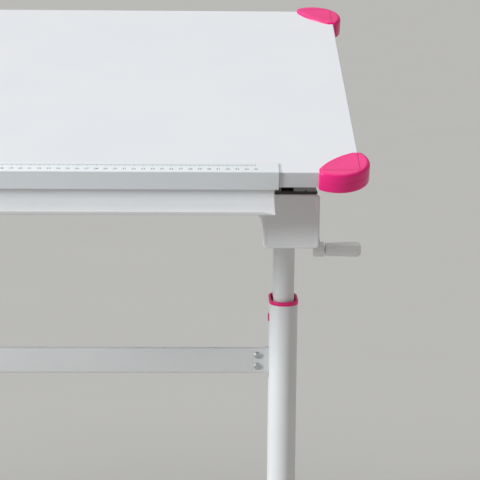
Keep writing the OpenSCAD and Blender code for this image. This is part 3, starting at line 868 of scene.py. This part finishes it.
# %% Leg heads
head_low, head_high = ROOM.extent("leg_head_right")
plate_low, plate_high = ROOM.extent("head_plate_right")
SHEET = 2 * MM
COVER_T = 3 * MM
COVER_DROP = 1.6 * MM
HALF_BOX = 27.5 * MM
head_x = (head_low[0] + head_high[0]) / 2
head_front, head_back = head_low[1] + COVER_T, head_high[1]
box_low, box_top = head_low[2] + COVER_DROP, head_high[2]
r = 1.0 * MM
box_in, box_floor = HALF_BOX - SHEET, box_low + SHEET
channel_line = outline(
    (-HALF_BOX, box_top, r), (-HALF_BOX, box_low, 4 * MM), (HALF_BOX, box_low, 4 * MM),
    (HALF_BOX, box_top, r), (box_in, box_top, r), (box_in, box_floor, 2.2 * MM),
    (-box_in, box_floor, 2.2 * MM), (-box_in, box_top, r))
channel = slab(channel_line, -head_back, -head_front, 0.6 * MM).turned(ALONG_Y)

half_cover = (head_high[0] - head_low[0]) / 2
cover_line = outline(
    (-half_cover, box_top, 4.6 * MM), (-half_cover, head_low[2], 5.2 * MM),
    (half_cover, head_low[2], 5.2 * MM), (half_cover, box_top, 4.6 * MM))


def pressed(line, back, front):
    """A cover with a 1.8 mm round edge, whose face steps down 0.25 mm at 4 mm from it."""
    edge = round_over(1.8 * MM, 8) * [1, -1] + [0, front]
    step = [(-3.7 * MM, front), (-4.0 * MM, front - 0.25 * MM), (-4.3 * MM, front - 0.25 * MM)]
    return skin(raised(line, [(-0.6 * MM, back), (-0.3 * MM, back), (0, back + 0.3 * MM),
                              *edge, *step]))


cover = pressed(cover_line, -head_front, -head_front + COVER_T)
rear_line = panel((-box_in, box_floor), (box_in, box_top - MM), 1.6 * MM)
rear = slab(rear_line, -head_back + 0.8 * MM, -head_back + 2.8 * MM, 0.3 * MM)
head = channel + (cover + rear).turned(ALONG_Y)
plate_line = panel(plate_low - [head_x, 0, 0], plate_high - [head_x, 0, 0], 2 * MM)
plate = slab(plate_line, plate_low[2], plate_high[2], 0.7 * MM)
pair("head_box", head, "upper_frame", "white_steel", "leg_head", head_x)
pair("head_top", plate, "upper_frame", "black_steel", "head_plate", head_x)

# %% Sockets under the heads
socket_low, socket_high = ROOM.extent("head_sockets")
socket_w = 2 * (socket_high[0] - LEG_X)
socket_d = socket_high[1] - socket_low[1]
socket_wall = (socket_w - inner_w) / 2
socket_section = outline(
    (0, socket_low[2], 2.2 * MM), (0, socket_high[2], 0.2 * MM),
    (-socket_wall, socket_high[2], 0.2 * MM), (-socket_wall, socket_low[2], 0.8 * MM))
piece("leg_sockets", both_legs(wrap(oval(socket_w, socket_d), socket_section)), "upper_frame",
      "white_steel", "head_sockets")

# %% [markdown]
# ## Beams and blocks
# A square tube joins the two heads and keeps them level. Lower down a folded channel joins
# the outer tubes, open towards the back. All of these, the hinge blocks and the stays are
# outlines in the y and z directions, carried along x.

# %% Cross beam and stretcher
beam_low, beam_high = ROOM.extent("cross_beam")
beam_line = panel(beam_low[1:], beam_high[1:], 3.5 * MM)
piece("head_beam", slab(beam_line, beam_low[0], beam_high[0], 0.3 * MM).turned(ALONG_X),
      "upper_frame", "white_steel", "cross_beam")

low, high = ROOM.extent("stretcher_beam")
(front, foot), (back, head) = low[1:], high[1:]
r = 0.9 * MM
stretcher_line = outline(
    (back, foot, r), (back, foot + SHEET, r), (front + SHEET, foot + SHEET, 1 * MM),
    (front + SHEET, head - SHEET, 1 * MM), (back, head - SHEET, r), (back, head, r),
    (front, head, 2.6 * MM), (front, foot, 2.6 * MM))
piece("stretcher", slab(stretcher_line, low[0], high[0], 0.3 * MM).turned(ALONG_X), "base",
      "white_steel", "stretcher_beam")

# %% Hinge blocks and buffers
low, high = ROOM.extent("hinge_blocks")
hinge_y = joint_place("tilt")[1]
half = (high[1] - low[1]) / 2
dome = half - 0.05 * MM
BLOCK_IN, BLOCK_OUT = -12.5 * MM, 1.0 * MM
block_line = outline(
    (hinge_y - half, low[2], 1 * MM), (hinge_y + half, low[2], 1 * MM),
    (hinge_y + half, high[2], dome), (hinge_y - half, high[2], dome))
block = slab(block_line, BLOCK_IN, BLOCK_OUT, 0.7 * MM).turned(ALONG_X)
piece("hinge_mounts", both_legs(block), "upper_frame", "black_plastic", "hinge_blocks")

low, high = ROOM.extent("tilt_buffers")
HALF_PAD = np.array([19, 7]) * MM
buffer = slab(panel(-HALF_PAD, HALF_PAD, 3 * MM), low[2], high[2], 1.2 * MM, 0.2 * MM)
buffers = buffer.at(0, low[1] + HALF_PAD[1]) + buffer.at(0, high[1] - HALF_PAD[1])
piece("rail_buffers", both_legs(buffers), "upper_frame", "black_plastic", "tilt_buffers")

# %% [markdown]
# Each stay is a flat bar with an eye at both ends. At rest it leans back at twice the slope
# of the top, so it is drawn lying along y and turned about its lower pin.


# %% Tilt stays
def arm_line(length, near, far, neck):
    """Outline of a bar along x with a round eye at each end: squares of the eyes' radii
    with full corners, joined by a narrower neck. Its upper half mirrors the lower one."""
    lower = [(-near, -near, near * 0.99), (near * 0.9, -near, near * 0.5),
             (near * 1.7, -neck, near * 0.7), (length - far * 1.7, -neck, far * 0.7),
             (length - far * 0.9, -far, far * 0.5), (length + far, -far, far * 0.99)]
    return outline(*lower, *[(x, -y, turn) for x, y, turn in lower[::-1]])


STAY_EYE = 7 * MM
for side in SIDES:
    seat = leaning(2 * slope, joint_place(f"stay_{side}_turn"))
    low, high = seat.extent(f"stay_{side}")
    stay_length = high[1] - STAY_EYE
    half = (high[0] - low[0]) / 2
    bar = slab(arm_line(stay_length, STAY_EYE, STAY_EYE, 5.2 * MM), -half, half, 0.8 * MM)
    piece(f"stay_bar_{side}", bar.turned(ALONG_X), f"stay_{side}", "zinc", f"stay_{side}", seat)

# %% [markdown]
# ## Crank
# The arm is a bar of white plastic with a hub on the shaft and a fat boss under the grip,
# which turns freely on its pin. The grip swells towards its outer end, and shallow grooves
# along it keep fingers from slipping. They are a cosine of the angle about the axis, faded
# out near both ends.

# %% Crank arm
shaft = joint_place("crank_turn")
grip_axis = joint_place("grip_spin")
low, high = ROOM.extent("crank_arm")
drop = math.atan2(grip_axis[2] - shaft[2], grip_axis[1] - shaft[1])
radius = math.hypot(*(grip_axis - shaft)[1:])
HUB = 9 * MM
BOSS = 8.8 * MM
arm_in, boss_out = low[0], high[0]
arm_out = boss_out - 3.2 * MM
web_in, web_out = arm_in + 0.5 * MM, arm_out - 1.6 * MM
crank = slab(arm_line(radius, HUB - 0.6 * MM, BOSS - 0.6 * MM, 5.5 * MM), web_in, web_out,
             1.4 * MM)
crank = crank + slab(disc(HUB), arm_in, arm_out, 1.2 * MM)
crank = crank + slab(disc(BOSS, radius), arm_in, boss_out, 1.0 * MM)
piece("crank_lever", crank.turned(ALONG_X), "drive", "white_plastic", "crank_arm",
      leaning(drop, (0, shaft[1], shaft[2])))


# %% Crank grip
def grip_rings(start, end, big, small):
    """Rings along the grip. The radius grows from small to big over the length, and turns
    in along a quarter circle of 5 mm at the outer end and of 0.8 mm at the inner one. A
    groove takes away up to 0.35 mm times (1 + cos(12 angle)) / 2, faded at both ends."""
    around = 144
    angle = np.arange(around) * 2 * math.pi / around
    nose, heel = 5 * MM, 0.8 * MM
    a = np.linspace(0, math.pi / 2, 7)
    heel_s = heel * (1 - np.cos(a))
    run_s = np.linspace(heel, end - start - nose, 26)
    nose_s = end - start - nose + nose * np.sin(a)
    s = np.concatenate([[0], heel_s, run_s[1:-1], nose_s, [end - start]])
    swell = small + (big - small) * np.clip(s / (end - start - nose), 0, 1) ** 0.8
    into = np.concatenate([[heel + 0.4 * MM], heel * (1 - np.sin(a)), 0 * run_s[1:-1],
                           nose * (1 - np.cos(a)), [nose + 0.4 * MM]])
    fade = np.clip(s / (4 * MM), 0, 1) * np.clip((end - start - s) / (6 * MM) - 0.5, 0, 1)
    cut = 0.35 * MM * fade[:, None] * (1 + np.cos(12 * angle)) / 2
    return turned_rings((swell - into)[:, None] - cut, s + start)


low, high = ROOM.extent("crank_grip")
grip = skin(grip_rings(low[0], high[0], (high[1] - low[1]) / 2, 7.7 * MM)).turned(ALONG_X)
piece("crank_handle", grip, "grip", "white_plastic", "crank_grip",
      Seat((0, grip_axis[1], grip_axis[2])))

# %% [markdown]
# ## Feet
# Each foot is a rectangular steel tube with rounded corners. Pink caps close its ends:
# their section is the tube's own and shrinks along a superellipse towards the nose. Four
# rubber glides hold the steel off the floor.

# %% Foot tubes
foot_low, foot_high = ROOM.extent("foot_right")
foot_line = panel(foot_low[[0, 2]] - [LEG_X, 0], foot_high[[0, 2]] - [LEG_X, 0], 4 * MM)
foot_tube = slab(foot_line, -foot_high[1], -foot_low[1], 0.3 * MM).turned(ALONG_Y)
pair("foot_tube", foot_tube, "base", "white_steel", "foot")


# %% Foot caps
def cap_rings(line, length, middle):
    """The tube's section at distances s. Its width shrinks by f = (1 - (s / length) ** 2.4)
    ** (1 / 2.4), and its height by 1 - 0.55 (1 - f)."""
    a = np.linspace(0, 0.985, 22)
    s = length * np.sin(a * math.pi / 2)
    f = (1 - (s / length) ** 2.4) ** (1 / 2.4)
    x = line[None, :, 0] * f[:, None]
    z = middle + (line[None, :, 1] - middle) * (1 - 0.55 * (1 - f))[:, None]
    return np.stack([x, z, np.broadcast_to(s[:, None], x.shape)], 2)


cap_length = ROOM.extent("foot_end_caps")[1][1] - foot_high[1]
cap_front = skin(cap_rings(foot_line, cap_length, (foot_low[2] + foot_high[2]) / 2))
cap_front = cap_front.turned(ALONG_Y).at(LEG_X, foot_low[1])
turned_round = ((-1, 0, 0), (0, -1, 0), (0, 0, 1))
caps = cap_front + cap_front.mirrored()
caps = caps + caps.turned(turned_round)
piece("foot_caps", caps, "base", "pink_plastic", "foot_end_caps")

# %% Glides and foot plates
low, high = ROOM.extent("floor_glides")
glide_r = high[0] - LEG_X
glide_h = high[2]
glide_rows = [(glide_r - 4 * MM, 0), (glide_r - 2.2 * MM, 0), (glide_r - 1 * MM, 0.3 * MM),
              (glide_r - 0.3 * MM, 1.1 * MM), (glide_r, 2 * MM), (glide_r, glide_h * 0.45),
              (glide_r - 0.6 * MM, glide_h * 0.5), (glide_r, glide_h * 0.55),
              (glide_r, glide_h - 0.5 * MM), (glide_r - 0.5 * MM, glide_h),
              (glide_r - 1 * MM, glide_h)]
glide_y = high[1] - glide_r
glides = spun(glide_rows).at(0, -glide_y) + spun(glide_rows).at(0, glide_y)
piece("rubber_glides", both_legs(glides), "base", "rubber", "floor_glides")

low, high = ROOM.extent("foot_plates")
plate_half = high - [LEG_X, 0, 0]
foot_plate = slab(panel(-plate_half, plate_half, 6 * MM), low[2], high[2], 0.9 * MM)
piece("base_plates", both_legs(foot_plate), "base", "white_steel", "foot_plates")

# %% [markdown]
# ## Screws
# Fasteners are small but they tell the eye how the desk is put together. Hex heads are six
# corners with a trace of rounding on a round washer. Socket heads are domes whose last
# rings turn from a circle to a hexagon and go down, which makes the recess.


# %% Fasteners
def hex_bolt(across, height):
    """A washer and a hexagon head, standing on z = 0. The head's corners lie on a circle."""
    reach = across / math.sqrt(3)
    angle = np.radians(60 * np.arange(6))
    corners = [(reach * math.cos(t), reach * math.sin(t), 0.7 * MM) for t in angle]
    washer = slab(disc(reach * 1.22), 0, 0.8 * MM, 0.25 * MM)
    return washer + slab(outline(*corners), 0.8 * MM, height, 0.4 * MM, low_edge=0.1 * MM)


def socket_screw(radius, height, socket):
    """A low dome with a hexagon recess. Between the rows the ring's radius is a mix of a
    circle and a hexagon: socket / cos(angle within its sixty degrees, less thirty)."""
    angle = np.arange(48) * 2 * math.pi / 48
    hexagon = socket / np.cos(angle % (math.pi / 3) - math.pi / 6)
    circle = np.ones(48)
    a = np.linspace(0, math.pi / 2, 6)
    dome = [(radius - height * 0.8 * (1 - math.cos(t))) * circle for t in a]
    dome_z = [height * (0.2 + 0.8 * math.sin(t)) for t in a]
    rows = [radius * circle * 0.99, *dome, hexagon * 1.06, hexagon, hexagon, hexagon * 0.9]
    levels = [0, *dome_z, height, height - 0.15 * MM, height * 0.35, height * 0.3]
    return skin(turned_rings(np.array(rows), levels))


low, high = ROOM.extent("foot_bolts")
HEX_ACROSS = 8 * MM
plate_level = plate_half[2]
bolt_y = high[1] - HEX_ACROSS / math.sqrt(3) * 1.25
foot_bolt = hex_bolt(HEX_ACROSS, high[2] - plate_level)
bolts = foot_bolt.at(0, -bolt_y, plate_level) + foot_bolt.at(0, bolt_y, plate_level)
piece("foot_hex_bolts", both_legs(bolts), "base", "zinc", "foot_bolts")

SCREW_YS = (30 * MM, 190 * MM, 350 * MM)
low, high = TOP.extent("rail_screws")
rail_screw = socket_screw((high[1] - low[1] - (SCREW_YS[2] - SCREW_YS[0])) / 2,
                          high[2] - low[2], 1.5 * MM).turned(UPSIDE_DOWN)
rail_set = joined([rail_screw.at(0, y, high[2]) for y in SCREW_YS])
piece("rail_fixings", both_legs(rail_set), "top", "zinc", "rail_screws", TOP)

low, high = TOP.extent("tray_screws")
tray_screw_r = (high[1] - low[1]) / 2
tray_screw = socket_screw(tray_screw_r, high[2] - low[2], 1.3 * MM).turned(UPSIDE_DOWN)
tray_screw_x = high[0] - tray_screw_r
tray_screw_y = (low[1] + high[1]) / 2
tray_set = joined([tray_screw.at(part * tray_screw_x, tray_screw_y, high[2])
                   for part in (1, 0.35, -0.35, -1)])
piece("tray_fixings", tray_set, "top", "zinc", "tray_screws", TOP)

# %% [markdown]
# ## Floor, light and camera
# The floor is plain and pale. A very wide lamp overhead makes the tops bright. A narrower,
# bluish one stands for a window at the front left, so each tube turns from light to dark
# and the tray shades the leg head behind it. The surroundings fill the shade, and they are
# slightly warmer.

# %% Floor and light
floor_mesh = bpy.data.meshes.new("floor")
FLOOR = 60.0
floor_mesh.from_pydata([(-FLOOR, -FLOOR, 0), (FLOOR, -FLOOR, 0), (FLOOR, FLOOR, 0),
                        (-FLOOR, FLOOR, 0)], [], [(0, 1, 2, 3)])
floor = add("floor", floor_mesh)
floor_paint = Finish("floor_paint", IOR=1.3)
cloud = floor_paint.grain(400 * MM, detail=4.0)
floor_paint.feed("Base Color", floor_paint.mix(cloud, rgb(0.50, 0.49, 0.47),
                                               rgb(0.48, 0.47, 0.45)))
floor_paint.feed("Roughness", 0.8 + 0.1 * cloud)
floor_mesh.materials.append(finishes["floor_paint"])


def turned_to(x, y, z):
    """The matrix that turns an object's own axes to the given ones."""
    return Matrix(np.stack([x, y, z], 1).tolist()).to_4x4()


def sunlight(name, power, spread, tint, towards):
    """A distant lamp whose wide spread in degrees softens its shadows. It shines along its
    own -z, so z is the direction reversed, x is level, and y is z cross x."""
    light = bpy.data.lights.new(name, "SUN")
    light.energy = power
    light.angle = math.radians(spread)
    light.color = tint
    z = -np.array(towards) / np.linalg.norm(towards)
    x = np.cross((0, 0, 1), z)
    x = x / np.linalg.norm(x)
    add(name, light).matrix_world = turned_to(x, np.cross(z, x), z)


sunlight("ceiling", 1.85, 90, (0.975, 0.985, 1.0), (0.25, -0.08, -1.0))
sunlight("window", 2.5, 16, (0.91, 0.97, 1.0), (0.88, 0.38, -0.28))

world = bpy.data.worlds.new("room")
world.use_nodes = True
sky = world.node_tree.nodes["Background"]
sky.inputs["Color"].default_value = rgb(1.0, 0.98, 0.96)
sky.inputs["Strength"].default_value = 0.24
bpy.context.scene.world = world
bpy.context.scene.view_settings.view_transform = "Standard"
print("window light and room light set")

# %% [markdown]
# The camera stands in front of the desk, a little left of the right-hand leg, and looks
# slightly down with a long lens. Its place is given in metres and its direction by three
# angles: a turn towards the right, a drop below the level, and a slight roll.

# %% Camera
turn, drop_angle, roll = math.radians(1.38), math.radians(11.05), math.radians(0.45)
ahead = np.array([math.sin(turn) * math.cos(drop_angle), math.cos(turn) * math.cos(drop_angle),
                  -math.sin(drop_angle)])
right = np.array([math.cos(turn), -math.sin(turn), 0])
up = np.cross(right, ahead)
right_rolled = math.cos(roll) * right + math.sin(roll) * up
up_rolled = math.cos(roll) * up - math.sin(roll) * right
lens = bpy.data.cameras.new("camera")
lens.sensor_width = 36
lens.lens = 112.5
lens.clip_end = 200
camera = add("camera", lens)
camera.matrix_world = (Matrix.Translation((0.168, -1.796, 0.835))
                       @ turned_to(right_rolled, up_rolled, -ahead))
bpy.context.scene.camera = camera
print("camera set")
